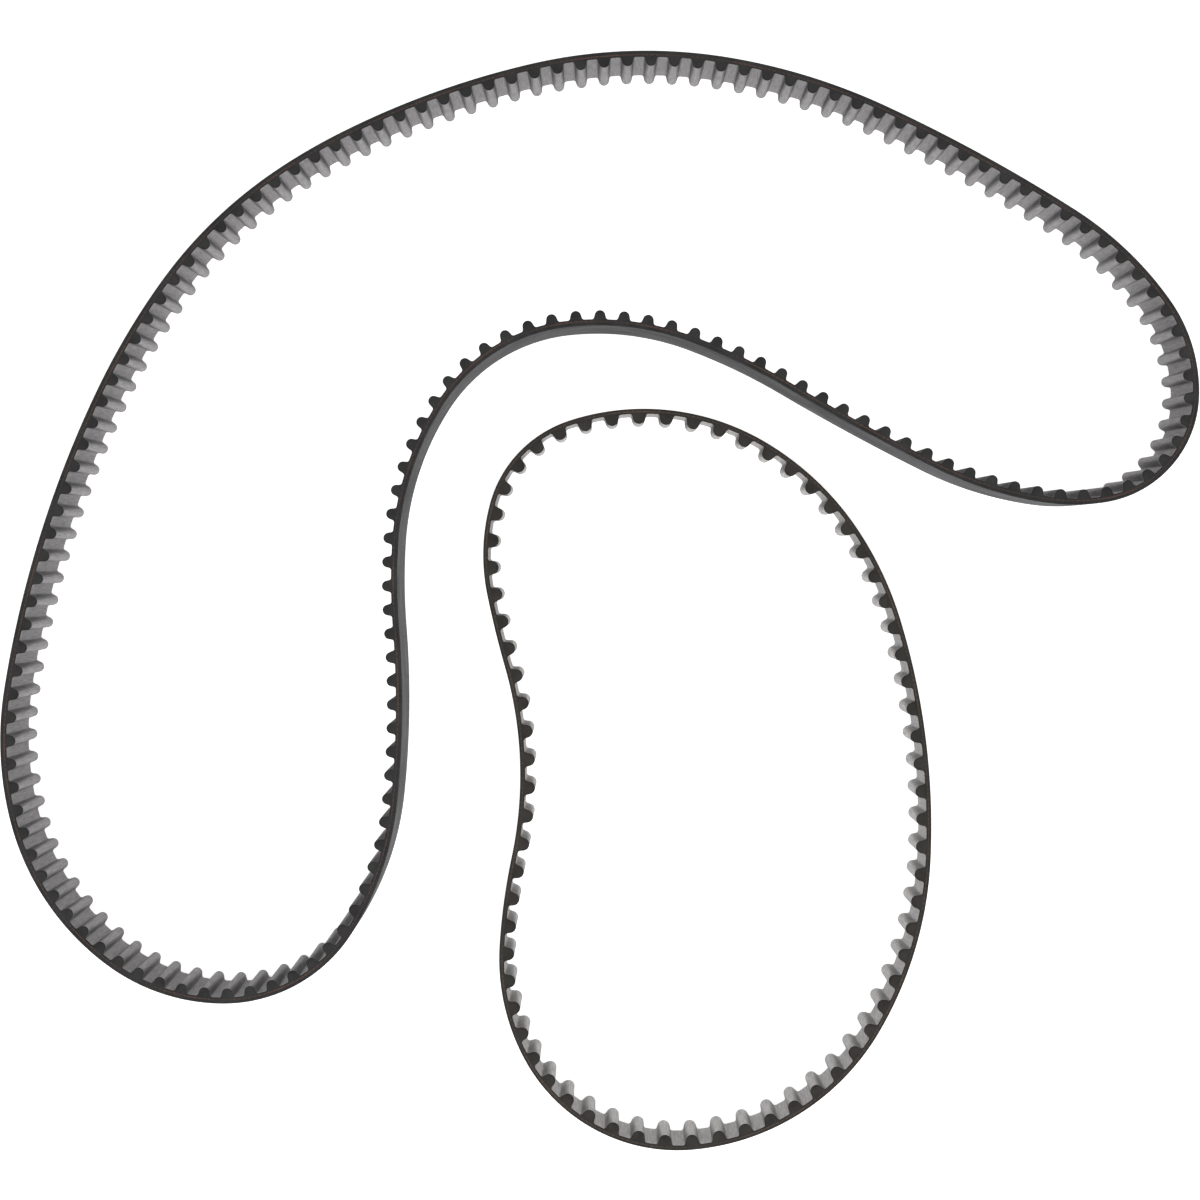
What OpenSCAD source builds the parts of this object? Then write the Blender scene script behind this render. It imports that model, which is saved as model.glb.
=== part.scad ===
// A pair of endless rubber timing belts, standing on their cut edges. The large loop is bent
// like a boomerang, and the small loop stands in its bay. Each belt is built up from its back
// to its teeth: backing rubber, a band of wound glass cord, cushion rubber, moulded teeth,
// and a woven facing over teeth and land. A belt bends between its teeth and stays straight
// under them, so its layers are outlines with a corner at each foot of each tooth.
// Millimetres, +Z up along the belts' width. The origin is the centre of the pair's
// footprint, on the surface that the belts stand on.

/* [Large belt] */
// Number of teeth
large_teeth = 155; // [150:5:160]
// Distance from tooth to tooth along the cords' centre line
large_pitch = 8; // [7.96:0.02:8.04]
// Width of the belt
large_w = 28; // [15:1:40]
// Thickness of the backing rubber
large_backing_t = 1.1; // [0.6:0.1:1.5]
// Height of a tooth above the land between teeth
large_tooth_h = 3.05; // [2.9:0.05:3.4]
// Radius of a tooth's tip
large_tip_r = 1.8; // [1.6:0.05:1.9]
// Radius of the fillet at a tooth's foot
large_root_r = 0.8; // [0.5:0.1:0.9]

/* [Small belt] */
// Number of teeth
small_teeth = 70; // [68:2:72]
// Distance from tooth to tooth along the cords' centre line
small_pitch = 9.525; // [9.485:0.02:9.565]
// Width of the belt
small_w = 19; // [12:1:30]
// Thickness of the backing rubber
small_backing_t = 0.7; // [0.4:0.1:1.2]
// Height of a tooth above the land between teeth
small_tooth_h = 3.45; // [3.3:0.05:3.6]
// Radius of a tooth's tip
small_tip_r = 2.15; // [1.9:0.05:2.25]
// Radius of the fillet at a tooth's foot
small_root_r = 0.9; // [0.6:0.1:1]

/* [Both belts] */
// Thickness of the band of wound cord
cord_t = 0.5; // [0.4:0.1:1]
// Thickness of the cushion rubber between cord and teeth
cushion_t = 0.2; // [0.1:0.1:0.5]
// Thickness of the woven facing
facing_t = 0.3; // [0.2:0.05:0.4]
// Slope of a tooth's flank, from upright
flank_angle = 14; // [8:1:16]

/* [Hidden] */

// The bends of each loop, in order: [radius of the centre line, degrees turned]. The loop's
// inside is on the left, so a turn to the left is positive. Radius 0 is worked out: three of
// them close the loop at the belt's exact length.
large_bends = [
    [170, 23], [285, 14], [0, 7], [151, 20.5], [240, 10], [365, 16.5], [109, 23], [86, 39],
    [65, 36], [50, 59], [100, 26], [320, 10.5], [210, -8], [99, -29], [58.5, -51], [92, -27],
    [205, -10], [800, 4], [0, 18], [64, 18], [36, 79], [0, 37], [114, 22], [550, 7.5], [205, 15]
];
small_bends = [
    [41, 25.5], [39.5, 31], [66, 27], [325, 4.5], [135, -28], [205, 8.5], [71, 32], [0, 66],
    [81, 55], [127, 28], [0, 19.5], [116, 16], [97, 26], [0, 49]
];
// Where each loop starts, from the large loop's start, and the way it sets off
large_start = [0, 0];
large_heading = 170;
small_start = [-55.1, -120.9];
small_heading = 198;

fillet_steps = 2;   // straight steps in the fillet at a tooth's foot
tip_steps = 6;      // straight steps in a tooth's round tip
seam_gap = 0.05;    // between the ends of a facing's lengths

large_lengths = 5;  // lengths of facing, each over the same whole number of teeth
small_lengths = 2;

// Distances inward from the cords' centre line
cord_back = -cord_t / 2;
cord_front = cord_t / 2;
cushion_front = cord_front + cushion_t;
land = cushion_front + facing_t;

// --- The loops ---

function total(rows) = [for (row = rows) 1] * rows;

// How far a bend of radius 1 moves along X and Y, and its length
function unit_move(heading, turn) = [
    sign(turn) * (sin(heading + turn) - sin(heading)),
    sign(turn) * (cos(heading) - cos(heading + turn)),
    abs(turn) * PI / 180
];

// The radii of a loop's bends, with those given as 0 solved to close it at its length
function radii(bends, start_heading, length) =
    let (
        moves = [
            for (i = 0, h = start_heading; i < len(bends); h = h + bends[i][1], i = i + 1)
                unit_move(h, bends[i][1])
        ],
        known = total([for (i = [0:len(bends) - 1]) bends[i][0] * moves[i]]),
        left = [0, 0, length] - known,
        open = [for (i = [0:len(bends) - 1]) if (bends[i][0] == 0) moves[i]],
        solved = [
            left * cross(open[1], open[2]),
            open[0] * cross(left, open[2]),
            open[0] * cross(open[1], left)
        ] / (open[0] * cross(open[1], open[2]))
    )
    [
        for (i = 0, k = 0; i < len(bends); k = k + (bends[i][0] == 0 ? 1 : 0), i = i + 1)
            bends[i][0] == 0 ? solved[k] : bends[i][0]
    ];

// A loop as arcs, each [start point, heading, radius, turn, distance from the loop's start]
function loop_of(bends, start, start_heading, length) =
    let (r = radii(bends, start_heading, length))
    [
        for (i = 0, p = start, h = start_heading, s = 0; i < len(bends);
             p = p + r[i] * way(unit_move(h, bends[i][1])),
             s = s + r[i] * abs(bends[i][1]) * PI / 180,
             h = h + bends[i][1], i = i + 1)
            [p, h, r[i], bends[i][1], s]
    ];
function way(move) = [move[0], move[1]];

// The arc that holds the point at distance s
function arc_at(loop, s) =
    let (reached = [for (arc = loop) if (s >= arc[4]) arc]) reached[len(reached) - 1];

// The point at distance s along the loop and distance d inward from its centre line
function inward(loop, s, d) =
    let (
        arc = arc_at(loop, s),
        side = sign(arc[3]),
        centre = arc[0] + side * arc[2] * [-sin(arc[1]), cos(arc[1])],
        h = arc[1] + side * (s - arc[4]) / arc[2] * 180 / PI
    )
    centre + (side * arc[2] - d) * [sin(h), -cos(h)];

// Half the width of a tooth over its fillets
function foot_x(h, tip_r, root_r) =
    (root_r + tip_r + (h - root_r - tip_r) * sin(flank_angle)) / cos(flank_angle);

// A belt is [loop, tooth places, half foot width, width, tooth height, tip radius, root
// radius, length]
function belt_of(loop, teeth, pitch, w, h, tip_r, root_r) = [
    loop, [for (i = [0:teeth - 1]) (i + 0.5) * pitch], foot_x(h, tip_r, root_r),
    w, h, tip_r, root_r, teeth * pitch
];
large = belt_of(
    loop_of(large_bends, large_start, large_heading, large_teeth * large_pitch),
    large_teeth, large_pitch, large_w, large_tooth_h, large_tip_r, large_root_r);
small = belt_of(
    loop_of(small_bends, small_start, small_heading, small_teeth * small_pitch),
    small_teeth, small_pitch, small_w, small_tooth_h, small_tip_r, small_root_r);

// --- Outlines ---

// The line at distance d inward, with its corners at the teeth's feet
function plain_line(belt, d) = [
    for (s = belt[1], side = [-1, 1]) inward(belt[0], s + side * belt[2], d)
];

// A tooth's profile between its feet, X along the belt and Y inward from the land: fillet,
// straight flank, round tip, flank and fillet, drawn `inset` inside the tooth's surface
function profile(belt, inset) =
    let (
        x = belt[2], tip_y = belt[4] - belt[5], tip = belt[5] - inset,
        root_y = belt[6], root = belt[6] + inset,
        bend = (90 - flank_angle) / fillet_steps,
        fillet = [
            for (i = [1:fillet_steps])
                [-x + root * sin(i * bend), root_y - root * cos(i * bend)]
        ],
        sweep = (180 - 2 * flank_angle) / tip_steps
    )
    concat(
        fillet,
        [
            for (i = [0:tip_steps])
                let (a = 180 - flank_angle - i * sweep) [tip * cos(a), tip_y + tip * sin(a)]
        ],
        [for (i = [fillet_steps - 1:-1:0]) [-fillet[i][0], fillet[i][1]]]
    );

// A tooth's outline at distance s, from foot to foot
function tooth_line(belt, s, d, inset) =
    let (
        a = inward(belt[0], s - belt[2], d),
        b = inward(belt[0], s + belt[2], d),
        along = (b - a) / norm(b - a),
        in = [-along[1], along[0]],
        land_middle = (a + b) / 2 + inset * in
    )
    concat([a], [for (p = profile(belt, inset)) land_middle + p[0] * along + p[1] * in], [b]);

function span_middle(points, axis) =
    (min([for (p = points) p[axis]]) + max([for (p = points) p[axis]])) / 2;
backs = concat(
    plain_line(large, cord_back - large_backing_t), plain_line(small, cord_back - small_backing_t));
middle = [span_middle(backs, 0), span_middle(backs, 1)];

// --- Layers ---

// The wall between an outer and an inner closed line
module between(outer, inner, w) {
    count = len(outer);
    translate(-middle)
        linear_extrude(w)
            polygon(
                concat(outer, inner),
                [[for (i = [0:count - 1]) i], [for (i = [0:len(inner) - 1]) count + i]]);
}

module layer(belt, from, to) {
    between(plain_line(belt, from), plain_line(belt, to), belt[3]);
}

module tooth_row(belt) {
    for (s = belt[1])
        translate(-middle)
            linear_extrude(belt[3]) polygon(tooth_line(belt, s, cushion_front, facing_t));
}

// The facing is a woven strip, laid around the loop in equal lengths. They meet in butt seams
// in the middle of a land.
module facing(belt, lengths) {
    count = len(belt[1]) / lengths;
    reach = belt[7] / lengths;
    for (i = [0:lengths - 1]) {
        from = i * reach;
        to = from + reach - seam_gap;
        places = [for (k = [i * count:(i + 1) * count - 1]) belt[1][k]];
        back = [
            inward(belt[0], from, cushion_front),
            for (s = places) each tooth_line(belt, s, cushion_front, facing_t),
            inward(belt[0], to, cushion_front)
        ];
        front = [
            inward(belt[0], from, land),
            for (s = places) each tooth_line(belt, s, land, 0),
            inward(belt[0], to, land)
        ];
        translate(-middle)
            linear_extrude(belt[3])
                polygon(concat(back, [for (k = [len(front) - 1:-1:0]) front[k]]));
    }
}

// --- Large belt ---

module large_backing() {
    color("#48474a") layer(large, cord_back - large_backing_t, cord_back);
}

module large_cord_winding() {
    color("#7a4636") layer(large, cord_back, cord_front);
}

module large_cushion() {
    color("#3a3839") layer(large, cord_front, cushion_front);
}

module large_teeth() {
    color("#323233") tooth_row(large);
}

module large_facing() {
    color("#858484") facing(large, large_lengths);
}

// --- Small belt ---

module small_backing() {
    color("#4b4844") layer(small, cord_back - small_backing_t, cord_back);
}

module small_cord_winding() {
    color("#6b4836") layer(small, cord_back, cord_front);
}

module small_cushion() {
    color("#3f3c38") layer(small, cord_front, cushion_front);
}

module small_teeth() {
    color("#3a3734") tooth_row(small);
}

module small_facing() {
    color("#b4b2b0") facing(small, small_lengths);
}

large_backing();
large_cord_winding();
large_cushion();
large_teeth();
large_facing();
small_backing();
small_cord_winding();
small_cushion();
small_teeth();
small_facing();
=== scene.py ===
"""The looks of a pair of toothed rubber belts that stand on their cut edges.

Every layer of a belt is swept along the same loop of bends as the CAD model's. Lengths here
are millimetres until a mesh is made, and metres in every Blender object.
"""

import math

import bpy
import numpy as np
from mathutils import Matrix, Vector


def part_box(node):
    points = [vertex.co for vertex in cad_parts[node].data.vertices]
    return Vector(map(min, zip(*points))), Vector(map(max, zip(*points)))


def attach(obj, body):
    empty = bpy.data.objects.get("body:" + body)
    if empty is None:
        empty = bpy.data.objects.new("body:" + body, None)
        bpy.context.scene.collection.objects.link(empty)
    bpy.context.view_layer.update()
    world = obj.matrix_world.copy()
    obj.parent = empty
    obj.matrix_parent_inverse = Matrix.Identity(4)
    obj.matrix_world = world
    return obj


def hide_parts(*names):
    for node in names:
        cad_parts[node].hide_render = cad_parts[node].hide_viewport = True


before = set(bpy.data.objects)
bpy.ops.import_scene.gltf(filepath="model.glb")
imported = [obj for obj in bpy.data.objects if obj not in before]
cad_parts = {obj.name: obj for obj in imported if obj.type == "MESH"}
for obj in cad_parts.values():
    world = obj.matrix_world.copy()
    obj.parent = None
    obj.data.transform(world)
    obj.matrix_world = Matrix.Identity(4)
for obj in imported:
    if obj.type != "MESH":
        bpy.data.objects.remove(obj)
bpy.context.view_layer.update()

MM = 0.001

# The same sizes for both belts
CORD_T = 0.5
CUSHION_T = 0.2
FACING_T = 0.3
FLANK = math.radians(14)

# Depths inward from the cord's centre line
CORD_BACK = -CORD_T / 2
CORD_FRONT = CORD_T / 2
CUSHION_FRONT = CORD_FRONT + CUSHION_T
LAND = CUSHION_FRONT + FACING_T

# Each belt: its bends are [radius of the centre line, degrees turned], with a turn to the
# left positive, and radius 0 solved so that the loop closes at its exact length
BELTS = {
    "large": {
        "teeth": 155, "pitch": 8.0, "tooth_h": 3.05, "tip_r": 1.8, "root_r": 0.8,
        "backing_t": 1.1, "heading": 170,
        "bends": [
            [170, 23], [285, 14], [0, 7], [151, 20.5], [240, 10], [365, 16.5], [109, 23],
            [86, 39], [65, 36], [50, 59], [100, 26], [320, 10.5], [210, -8], [99, -29],
            [58.5, -51], [92, -27], [205, -10], [800, 4], [0, 18], [64, 18], [36, 79],
            [0, 37], [114, 22], [550, 7.5], [205, 15],
        ],
    },
    "small": {
        "teeth": 70, "pitch": 9.525, "tooth_h": 3.45, "tip_r": 2.15, "root_r": 0.9,
        "backing_t": 0.7, "heading": 198,
        "bends": [
            [41, 25.5], [39.5, 31], [66, 27], [325, 4.5], [135, -28], [205, 8.5], [71, 32],
            [0, 66], [81, 55], [127, 28], [0, 19.5], [116, 16], [97, 26], [0, 49],
        ],
    },
}

# How finely the meshes follow a tooth and the land between teeth
ROOT_POINTS = 7
FLANK_POINTS = (0.25, 0.5, 0.75)   # shares of the straight part
TIP_POINTS = 8
LAND_POINTS = 4

STIFF_Y = 1.1        # a tooth's shape is stiff from this height above its core's foot
SHARP = math.radians(35)

# Bevels along the cut edges
BACKING_BEVEL = 0.06
INNER_BEVEL = 0.02
FACING_BEVEL = 0.08
FRAY = 0.04          # how far the facing's cut edges wander up and down
FRAY_STEP = 3        # stations from one random height to the next
WALL_ROWS = (0.33, 0.67)   # inner rows of points on a wall's front, as shares of its height
CORE_SINK = 0.03     # the moulded teeth's ends sink this far at their rims
CORE_CAP = 0.86      # size of the flat middle of such an end
CORE_CAP_RISE = 0.12  # and how far it moves towards the tip, as a share of the tooth

# Seeds of the cut edges' random heights. Only the facing's edges wander.
SEEDS = {"backing": 1, "cord_winding": 3, "cushion": 5, "facing": 7}

# Colours of each belt's surfaces. The last, the cloth's dark colour, is painted shade on the
# tooth flanks.
LOOKS = {
    "large": {"back": (0.031, 0.03, 0.033), "cut": (0.039, 0.039, 0.039),
              "cord": (0.12, 0.064, 0.05), "cloth": (0.31, 0.3, 0.306),
              "flank_shade": (0.022, 0.021, 0.022)},
    "small": {"back": (0.034, 0.032, 0.029), "cut": (0.042, 0.039, 0.035),
              "cord": (0.105, 0.07, 0.052), "cloth": (0.46, 0.45, 0.445),
              "flank_shade": (0.1, 0.097, 0.093)},
}
THREAD = 0.45        # spacing of the cloth's threads
CORD_TWIST = 1.7     # length of one twist of the cord

# Stage, in metres and watts. The lens is in millimetres, and the shift a share of the frame.
FLOOR_HALF = 12.0
FLOOR_DROP = 0.0003
FLOOR_GLOW = 0.88
SKY_GLOW = 0.3
LAMP_SIZE = 0.9
LAMPS = {
    "softbox_left": ((-1.1, 0.3, 1.3), 3.5),
    "softbox_right": ((1.1, 0.3, 1.2), 3.5),
    "softbox_front": ((0.1, -1.3, 1.2), 15),
}
CAMERA_PLACE = (0.0001, 0.0183, 0.737)
CAMERA_LENS = 63.2
CAMERA_SHIFT_Y = -0.0417


# ---------------------------------------------------------------- the loops

class Loop:
    """A closed chain of arcs."""

    OUTLINE_STEP = 0.25

    def __init__(self, belt):
        self.length = belt["teeth"] * belt["pitch"]
        radii, turns = np.array(belt["bends"], float).T
        turns = np.radians(turns)
        heads = math.radians(belt["heading"]) + np.r_[0, np.cumsum(turns)[:-1]]
        side = np.sign(turns)
        moves = np.array([
            side * (np.sin(heads + turns) - np.sin(heads)),
            side * (np.cos(heads) - np.cos(heads + turns)),
            np.abs(turns),
        ])
        unknown = radii == 0
        rest = np.array([0, 0, self.length]) - moves @ radii
        radii[unknown] = np.linalg.solve(moves[:, unknown], rest)
        steps = moves * radii
        starts_x, starts_y, self.first = (np.r_[0, np.cumsum(row)[:-1]] for row in steps)
        normals = np.c_[-np.sin(heads), np.cos(heads)]
        self.centres = np.c_[starts_x, starts_y] + (side * radii)[:, None] * normals
        self.radii, self.side, self.heads = radii, side, heads
        self.shift = np.zeros(2)

    def at(self, s, depth):
        """The points at distances s along the centre line, and depth inward of it."""
        s = np.mod(s, self.length)
        i = np.searchsorted(self.first, s, side="right") - 1
        head = self.heads[i] + self.side[i] * (s - self.first[i]) / self.radii[i]
        out = self.side[i] * self.radii[i] - depth
        ray = np.stack([np.sin(head), -np.cos(head)], -1)
        return self.centres[i] + out[..., None] * ray + self.shift

    def centre_on(self, low, high, depth):
        """Moves the loop so that its line at that depth fills the CAD box, low to high."""
        line = self.at(np.arange(0, self.length, self.OUTLINE_STEP), depth)
        want = (np.array(low[:2]) + np.array(high[:2])) / 2 / MM
        self.shift = want - (line.min(0) + line.max(0)) / 2


# ---------------------------------------------------------------- profiles

def foot_x(belt):
    """Half the width of a tooth from foot to foot."""
    reach = belt["root_r"] + belt["tip_r"]
    return (reach + (belt["tooth_h"] - reach) * math.sin(FLANK)) / math.cos(FLANK)


def tooth_profile(belt, inset):
    """Points (x, y) of one tooth from foot to foot, inset from its surface, and how much
    each faces along the belt, from 0 on land and tip to nearly 1 on a flank."""
    tip_y, tip = belt["tooth_h"] - belt["tip_r"], belt["tip_r"] - inset
    root_y, root = belt["root_r"], belt["root_r"] + inset
    foot = foot_x(belt)
    points, facing = [], []
    for a in np.linspace(0, math.pi / 2 - FLANK, ROOT_POINTS):
        points.append((-foot + root * math.sin(a), root_y - root * math.cos(a)))
        facing.append(math.sin(a))
    start = np.array(points[-1])
    end = np.array([-tip * math.cos(FLANK), tip_y + tip * math.sin(FLANK)])
    for t in FLANK_POINTS:
        points.append(tuple(start + t * (end - start)))
        facing.append(math.cos(FLANK))
    for a in np.linspace(math.pi - FLANK, math.pi / 2, TIP_POINTS):
        points.append((tip * math.cos(a), tip_y + tip * math.sin(a)))
        facing.append(abs(math.cos(a)))
    left, face = np.array(points), np.array(facing)
    right = (left * [-1, 1])[-2::-1]
    return np.vstack([left, right]), np.r_[face, face[-2::-1]]


def bent(loop, place, points, depth):
    """A tooth's points on the loop: its foot follows the bend, and the rest keeps its shape."""
    x, y = points.T
    soft = loop.at(place + x, depth + y)
    along = loop.at(place + 0.5, depth) - loop.at(place - 0.5, depth)
    along /= np.linalg.norm(along)
    inward = np.array([-along[1], along[0]])
    middle = loop.at(np.float64(place), depth)
    stiff = middle + x[:, None] * along + y[:, None] * inward
    t = np.clip((y + FACING_T) / STIFF_Y, 0, 1)[:, None]
    return soft * (1 - t) + stiff * t


def toothed_lines(belt, loop):
    """The facing's front and back lines, the distance along the cloth, which ends with its
    whole length, and how much each point faces along the belt."""
    front_tooth, face = tooth_profile(belt, 0)
    back_tooth, _ = tooth_profile(belt, FACING_T)
    foot, pitch = foot_x(belt), belt["pitch"]
    gap = np.linspace(foot, pitch - foot, LAND_POINTS + 2)[1:-1]
    front, back, flank = [], [], []
    for i in range(belt["teeth"]):
        place = (i + 0.5) * pitch
        front += [bent(loop, place, front_tooth, LAND), loop.at(place + gap, LAND)]
        back += [bent(loop, place, back_tooth, LAND), loop.at(place + gap, CUSHION_FRONT)]
        flank += [face, np.zeros(LAND_POINTS)]
    front, back = np.vstack(front), np.vstack(back)
    steps = np.linalg.norm(np.roll(front, -1, 0) - front, axis=1)
    return front, back, np.r_[0, np.cumsum(steps)], np.concatenate(flank)


# ---------------------------------------------------------------- meshes

def make(name, points, faces, marks, run, values, look, slot, body, nodes):
    """A mesh object in metres with values for its materials to read. marks picks each
    face's material from look, run is given for each corner of each face, and values hold
    one number a point."""
    mesh = bpy.data.meshes.new(name)
    mesh.from_pydata((np.asarray(points) * MM).tolist(), [], faces)
    mesh.polygons.foreach_set("material_index", marks)
    mesh.attributes.new("run", "FLOAT", "CORNER").data.foreach_set("value", run)
    for key, data in values.items():
        mesh.attributes.new(key, "FLOAT", "POINT").data.foreach_set("value", data)
    mesh.shade_smooth()
    mesh.set_sharp_from_angle(angle=SHARP)
    mesh.update()
    for material in look:
        mesh.materials.append(material)
    piece = bpy.data.objects.new(name, mesh)
    bpy.context.scene.collection.objects.link(piece)
    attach(piece, body)
    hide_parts(*nodes)


def slow_noise(count, seed):
    """A smooth random value from -1 to 1 for each of count stations along a closed loop."""
    rng = np.random.default_rng(seed)
    knots = rng.uniform(-1, 1, int(count / FRAY_STEP))
    x = np.arange(count) / count * len(knots)
    i = x.astype(int)
    t = x - i
    t = t * t * (3 - 2 * t)
    return knots[i % len(knots)] * (1 - t) + knots[(i + 1) % len(knots)] * t


def band(name, front, back, width, run, flank, bevel, fray, seed, **rest):
    """A closed wall between a front and a back line, with small bevels along its cut edges.
    run is the distance along it, and ends with its whole length. fray is how far the cut
    edges wander up and down."""
    n = len(front)
    step = back - front
    step *= (bevel / np.linalg.norm(step, axis=1))[:, None]
    top = width - fray + fray * slow_noise(n, seed)
    low = fray + fray * slow_noise(n, seed + 1)
    rows = [
        (front, low + bevel), *((front, low + (top - low) * share) for share in WALL_ROWS),
        (front, top - bevel), (front + step, top), (back - step, top), (back, top - bevel),
        (back, low + bevel), (back - step, low), (front + step, low),
    ]
    cut_rows = (3, 4, 5, 7, 8, 9)   # both cut edges, with their bevels
    points = np.concatenate([np.c_[line, z] for line, z in rows])
    count = len(rows)
    i = np.arange(n)
    j = (i + 1) % n
    faces, marks = [], []
    for r in range(count):
        q = (r + 1) % count
        faces += np.c_[q * n + i, q * n + j, r * n + j, r * n + i].tolist()
        marks += [int(r in cut_rows)] * n
    corners = np.tile(np.c_[run[i], run[i + 1], run[i + 1], run[i]], (count, 1))
    values = {"rise": points[:, 2], "flank": np.tile(flank, count)}
    make(name, points, faces, marks, corners.ravel(), values, **rest)


def layer(name, loop, width, deep_from, deep_to, bevel, seed, **rest):
    """One plain layer of a belt, from one depth to another, with a station about every mm."""
    n = int(loop.length)
    run = np.arange(n + 1) * loop.length / n
    front, back = (loop.at(run[:-1], depth) for depth in (deep_to, deep_from))
    band(name, front, back, width, run, np.zeros(n), bevel, 0.0, seed, **rest)


def tooth_cores(name, belt, loop, width, **rest):
    """The moulded teeth under the facing, each a prism whose ends show on the cut edges."""
    outline, _ = tooth_profile(belt, FACING_T)
    base_x = np.linspace(outline[-1, 0], outline[0, 0], LAND_POINTS + 2)[1:-1]
    shape = np.vstack([outline, np.c_[base_x, np.full(LAND_POINTS, -FACING_T)]])
    inner = shape * CORE_CAP + [0, CORE_CAP_RISE * belt["tooth_h"]]
    m = len(shape)
    ring = np.arange(m)
    after = (ring + 1) % m
    points, faces, marks = [], [], []
    for k in range(belt["teeth"]):
        s = (k + 0.5) * belt["pitch"]
        rim, cap = bent(loop, s, shape, LAND), bent(loop, s, inner, LAND)
        first = len(points)
        for line, z in ((cap, 0), (rim, CORE_SINK), (rim, width - CORE_SINK), (cap, width)):
            points += np.c_[line, np.full(m, z)].tolist()
        for r in range(3):
            a, b = first + r * m, first + (r + 1) * m
            faces += np.c_[b + ring, b + after, a + after, a + ring].tolist()
            marks += [int(r != 1)] * m
        faces += [(first + ring).tolist(), (first + 3 * m + ring)[::-1].tolist()]
        marks += [1, 1]
    run = np.zeros(sum(len(face) for face in faces))
    make(name, points, faces, marks, run, {}, **rest)


# ---------------------------------------------------------------- materials

class Nodes:
    """Shorthand for building one material's node tree."""

    def __init__(self, name):
        self.material = bpy.data.materials.new(name)
        self.material.use_nodes = True
        self.tree = self.material.node_tree
        self.shader = self.tree.nodes["Principled BSDF"]

    def add(self, kind, **settings):
        node = self.tree.nodes.new(kind)
        for key, value in settings.items():
            setattr(node, key, value)
        return node

    def join(self, start, end):
        self.tree.links.new(start, end)

    def feed(self, socket, item):
        """Sets a socket to a number or a colour, or links it to another node's output."""
        if isinstance(item, (int, float)):
            socket.default_value = item
        elif isinstance(item, tuple):
            socket.default_value = (*item, 1)
        else:
            self.join(item, socket)

    def value(self, key):
        return self.add("ShaderNodeAttribute", attribute_name=key).outputs["Fac"]

    def place(self):
        return self.add("ShaderNodeTexCoord").outputs["Object"]

    def math(self, operation, *items):
        node = self.add("ShaderNodeMath", operation=operation)
        for socket, item in zip(node.inputs, items):
            self.feed(socket, item)
        return node.outputs[0]

    def plus(self, a, b):
        return self.math("ADD", a, b)

    def times(self, a, b):
        return self.math("MULTIPLY", a, b)

    def vector(self, x, y):
        node = self.add("ShaderNodeCombineXYZ")
        self.feed(node.inputs["X"], x)
        self.feed(node.inputs["Y"], y)
        return node.outputs[0]

    def noise(self, vector, scale, detail=4.0, rough=0.55):
        node = self.add("ShaderNodeTexNoise")
        self.join(vector, node.inputs["Vector"])
        node.inputs["Scale"].default_value = scale
        node.inputs["Detail"].default_value = detail
        node.inputs["Roughness"].default_value = rough
        return node.outputs[0]

    def ramp(self, share, start, end):
        """A colour ramp from start to end, each (position, colour)."""
        node = self.add("ShaderNodeValToRGB")
        self.join(share, node.inputs[0])
        for element, (position, colour) in zip(node.color_ramp.elements, (start, end)):
            element.position, element.color = position, (*colour, 1)
        return node.outputs[0]

    def mix(self, share, a, b):
        node = self.add("ShaderNodeMix", data_type="RGBA")
        for index, item in ((0, share), (6, a), (7, b)):
            self.feed(node.inputs[index], item)
        return node.outputs[2]

    def bump(self, height, depth):
        node = self.add("ShaderNodeBump")
        node.inputs["Strength"].default_value = 1.0
        node.inputs["Distance"].default_value = depth * MM
        self.join(height, node.inputs["Height"])
        self.join(node.outputs[0], self.shader.inputs["Normal"])

    def surface(self, colour, roughness, specular):
        for key, item in (("Base Color", colour), ("Roughness", roughness),
                          ("Specular IOR Level", specular)):
            self.feed(self.shader.inputs[key], item)


def scaled(colour, k):
    return tuple(c * k for c in colour)


def grey(level):
    return (level,) * 3


def back_rubber(name, colour):
    """The ground back: matt rubber with fine grinding lines along the belt and faint dust."""
    n = Nodes(name)
    run, rise = n.value("run"), n.value("rise")
    lines = n.noise(n.vector(n.times(run, 0.02), n.times(rise, 1.6)), 3.0)
    dust = n.noise(n.vector(n.times(run, 0.05), n.times(rise, 0.12)), 1.0)
    grit = n.noise(n.vector(run, rise), 5.0, 3.0)
    tone = n.ramp(lines, (0.3, scaled(colour, 0.8)), (0.7, scaled(colour, 1.2)))
    tone = n.mix(n.times(dust, 0.35), tone, scaled(colour, 1.6))
    n.bump(n.plus(n.times(grit, 0.6), lines), 0.03)
    n.surface(tone, n.ramp(dust, (0.3, grey(0.5)), (0.7, grey(0.66))), 0.12)
    return n.material


def cut_rubber(name, colour):
    """A cut edge: near-black rubber with uneven cut marks and short pale fibres."""
    n = Nodes(name)
    place = n.place()
    marks = n.noise(place, 900.0, 5.0, 0.65)
    patches = n.noise(place, 160.0, 3.0)
    speck = n.noise(place, 3800.0, 2.0)
    tone = n.ramp(patches, (0.3, scaled(colour, 0.75)), (0.7, scaled(colour, 1.3)))
    fibres = n.ramp(speck, (0.62, grey(0)), (0.74, grey(1)))
    tone = n.mix(n.times(fibres, 0.35), tone, scaled(colour, 2.6))
    n.bump(n.plus(marks, n.times(speck, 0.5)), 0.06)
    n.surface(tone, n.ramp(marks, (0.3, grey(0.62)), (0.7, grey(0.82))), 0.2)
    return n.material


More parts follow.
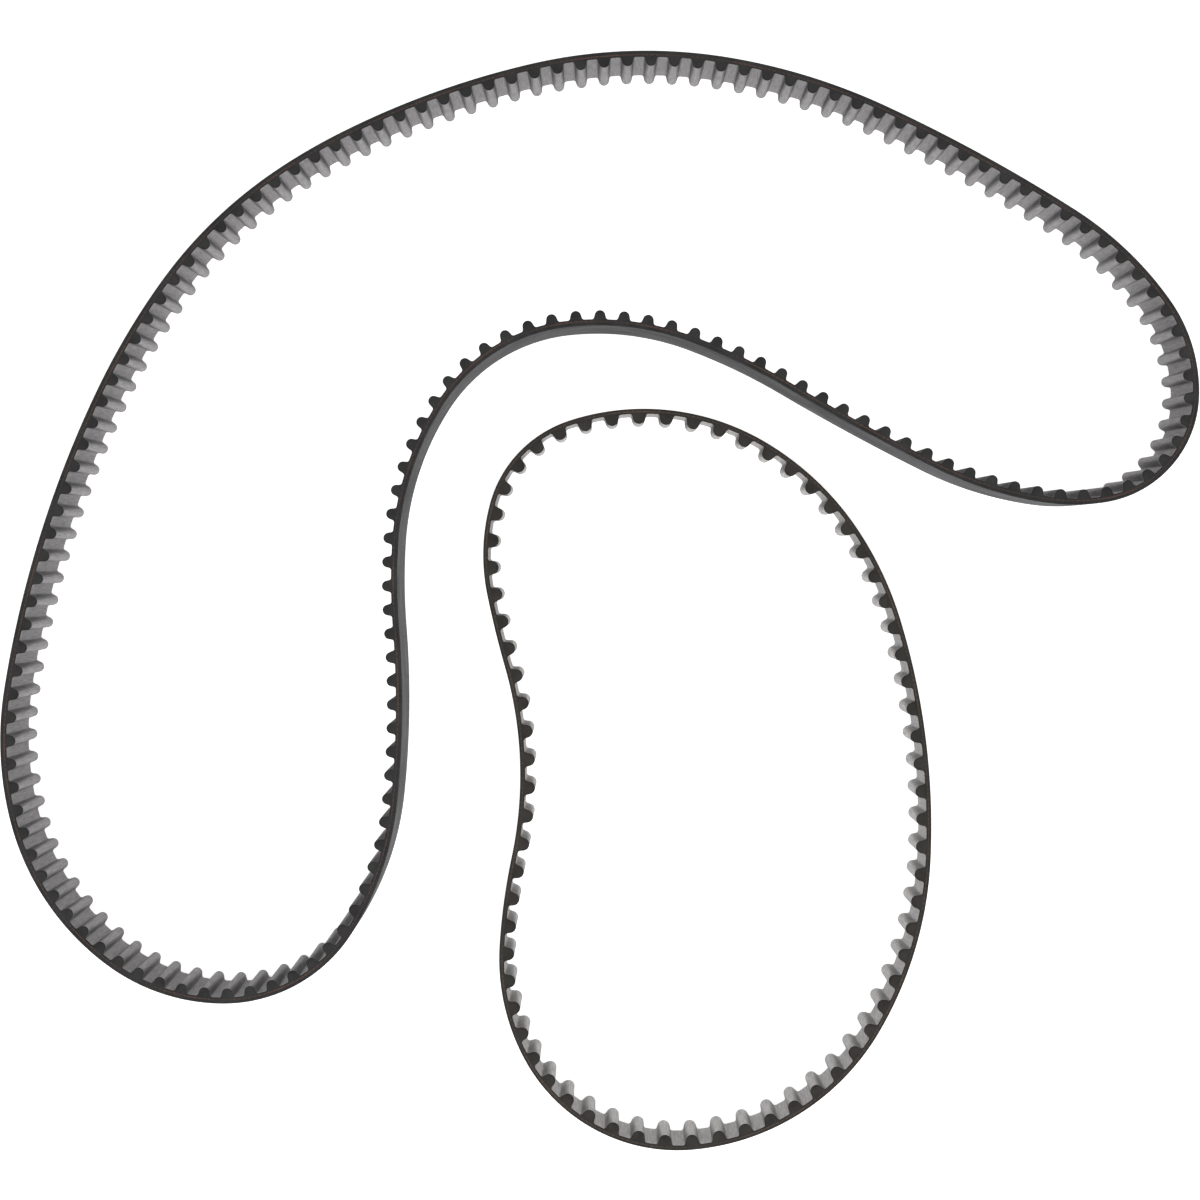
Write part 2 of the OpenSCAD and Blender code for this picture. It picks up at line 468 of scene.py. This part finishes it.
def cut_cord(name, red, dark):
    """The cord line on a cut edge: red-brown strands that come and go in the rubber."""
    n = Nodes(name)
    run = n.value("run")
    strands = n.noise(n.place(), 1500.0, 3.0)
    stretch = n.noise(n.vector(n.times(run, 0.035), 0.0), 1.0, 3.0)
    twist = n.math("SINE", n.times(run, 2 * math.pi / CORD_TWIST))
    shown = n.ramp(n.plus(stretch, n.times(twist, 0.06)), (0.42, grey(0.1)), (0.62, grey(0.85)))
    tone = n.ramp(strands, (0.3, scaled(red, 0.6)), (0.7, scaled(red, 1.5)))
    n.bump(n.plus(strands, n.times(twist, 0.4)), 0.08)
    n.surface(n.mix(shown, dark, tone), 0.7, 0.3)
    return n.material


def facing_cloth(name, light, dark, width):
    """Woven nylon: twill threads, and painted shade on the flanks, most towards the upper edge."""
    n = Nodes(name)
    run, rise, flank = n.value("run"), n.value("rise"), n.value("flank")
    turn = 2 * math.pi / THREAD
    warp = n.math("SINE", n.times(n.plus(run, rise), turn))
    weft = n.math("SINE", n.times(rise, turn * 1.3))
    weave = n.times(n.plus(warp, weft), 0.25)
    streak = n.noise(n.vector(n.times(run, 2.2), n.times(rise, 0.14)), 1.0)
    blotch = n.noise(n.vector(n.times(run, 0.22), n.times(rise, 0.2)), 1.0)
    fuzz = n.noise(n.vector(run, rise), 3.2, 4.0, 0.7)
    tone = n.ramp(streak, (0.3, scaled(light, 0.62)), (0.7, scaled(light, 1.25)))
    tone = n.mix(n.times(blotch, 0.3), tone, scaled(light, 0.72))
    tone = n.mix(n.times(fuzz, 0.25), tone, scaled(light, 1.45))
    # Painted shade: the cloth takes the dark colour on the tooth flanks, and more of it towards
    # the upper edge, with random fuzz in where it starts.
    flank_shade_mask = n.plus(flank, n.times(n.math("SUBTRACT", fuzz, 0.5), 0.35))
    lower = n.math("SUBTRACT", 1.0, n.math("DIVIDE", rise, width))
    flank_shade_mask = n.math("SUBTRACT", flank_shade_mask, n.times(lower, 0.5))
    flank_shade = n.ramp(flank_shade_mask, (0.3, grey(0)), (0.8, grey(0.62)))
    n.bump(n.plus(weave, n.times(fuzz, 0.8)), 0.05)
    n.surface(n.mix(flank_shade, tone, dark), 0.9, 0.1)
    n.feed(n.shader.inputs["Sheen Weight"], 0.03)
    n.feed(n.shader.inputs["Sheen Roughness"], 0.5)
    return n.material


def floor_white():
    """White that gives off light of its own, so that the belts cast little grey on it."""
    n = Nodes("floor_white")
    n.surface(grey(0.85), 0.9, 0.0)
    n.feed(n.shader.inputs["Emission Color"], grey(1))
    n.feed(n.shader.inputs["Emission Strength"], FLOOR_GLOW)
    return n.material


# ---------------------------------------------------------------- the belts

def build(which):
    """One belt: a piece for each CAD node, in the CAD node's place."""
    belt, colours = BELTS[which], LOOKS[which]
    back_node = which + "_backing"
    low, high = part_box(back_node)
    width = (high[2] - low[2]) / MM
    loop = Loop(belt)
    back_depth = CORD_BACK - belt["backing_t"]
    loop.centre_on(low, high, back_depth)
    cut = cut_rubber(which + "_cut_rubber", colours["cut"])
    cord = cut_cord(which + "_cut_cord", colours["cord"], colours["cut"])
    back = back_rubber(which + "_back_rubber", colours["back"])
    cloth = facing_cloth(which + "_facing_cloth", colours["cloth"], colours["flank_shade"], width)

    def place(part, *look):
        node = which + "_" + part
        return {"look": look, "slot": node, "body": which + "_belt", "nodes": [node]}

    layer(which + "_ground_back", loop, width, back_depth, CORD_BACK,
          BACKING_BEVEL, SEEDS["backing"], **place("backing", back, cut))
    layer(which + "_cord_band", loop, width, CORD_BACK, CORD_FRONT,
          INNER_BEVEL, SEEDS["cord_winding"], **place("cord_winding", cord, cord))
    layer(which + "_cushion_rubber", loop, width, CORD_FRONT, CUSHION_FRONT,
          INNER_BEVEL, SEEDS["cushion"], **place("cushion", cut, cut))
    tooth_cores(which + "_moulded_teeth", belt, loop, width, **place("teeth", cut, cut))
    front, rear, run, flank = toothed_lines(belt, loop)
    band(which + "_woven_facing", front, rear, width, run, flank,
         FACING_BEVEL, FRAY, SEEDS["facing"], **place("facing", cloth, cut))


for which in BELTS:
    build(which)


# ---------------------------------------------------------------- floor, light and camera

def add_floor():
    h = FLOOR_HALF
    mesh = bpy.data.meshes.new("floor")
    mesh.from_pydata([(-h, -h, 0), (h, -h, 0), (h, h, 0), (-h, h, 0)], [], [(0, 1, 2, 3)])
    mesh.materials.append(floor_white())
    floor = bpy.data.objects.new("floor", mesh)
    floor.location.z = -FLOOR_DROP
    bpy.context.scene.collection.objects.link(floor)


def add_lamp(name, place, watts):
    """A round softbox that points at the origin."""
    data = bpy.data.lights.new(name, "AREA")
    data.shape, data.size, data.energy = "DISK", LAMP_SIZE, watts
    lamp = bpy.data.objects.new(name, data)
    lamp.location = place
    lamp.rotation_euler = (-Vector(place)).to_track_quat("-Z", "Y").to_euler()
    bpy.context.scene.collection.objects.link(lamp)


def add_sky():
    sky = bpy.data.worlds.new("light_tent")
    sky.use_nodes = True
    background = sky.node_tree.nodes["Background"]
    background.inputs["Color"].default_value = (1, 1, 1, 1)
    background.inputs["Strength"].default_value = SKY_GLOW
    bpy.context.scene.world = sky


def add_camera():
    """Looks straight down, from a little above the middle of the pair in the picture."""
    data = bpy.data.cameras.new("camera")
    data.sensor_width = 36.0
    data.lens = CAMERA_LENS
    data.shift_y = CAMERA_SHIFT_Y
    camera = bpy.data.objects.new("camera", data)
    camera.location = CAMERA_PLACE
    bpy.context.scene.collection.objects.link(camera)
    bpy.context.scene.camera = camera


add_floor()
for name, (place, watts) in LAMPS.items():
    add_lamp(name, place, watts)
add_sky()
add_camera()
bpy.context.scene.view_settings.view_transform = "Standard"
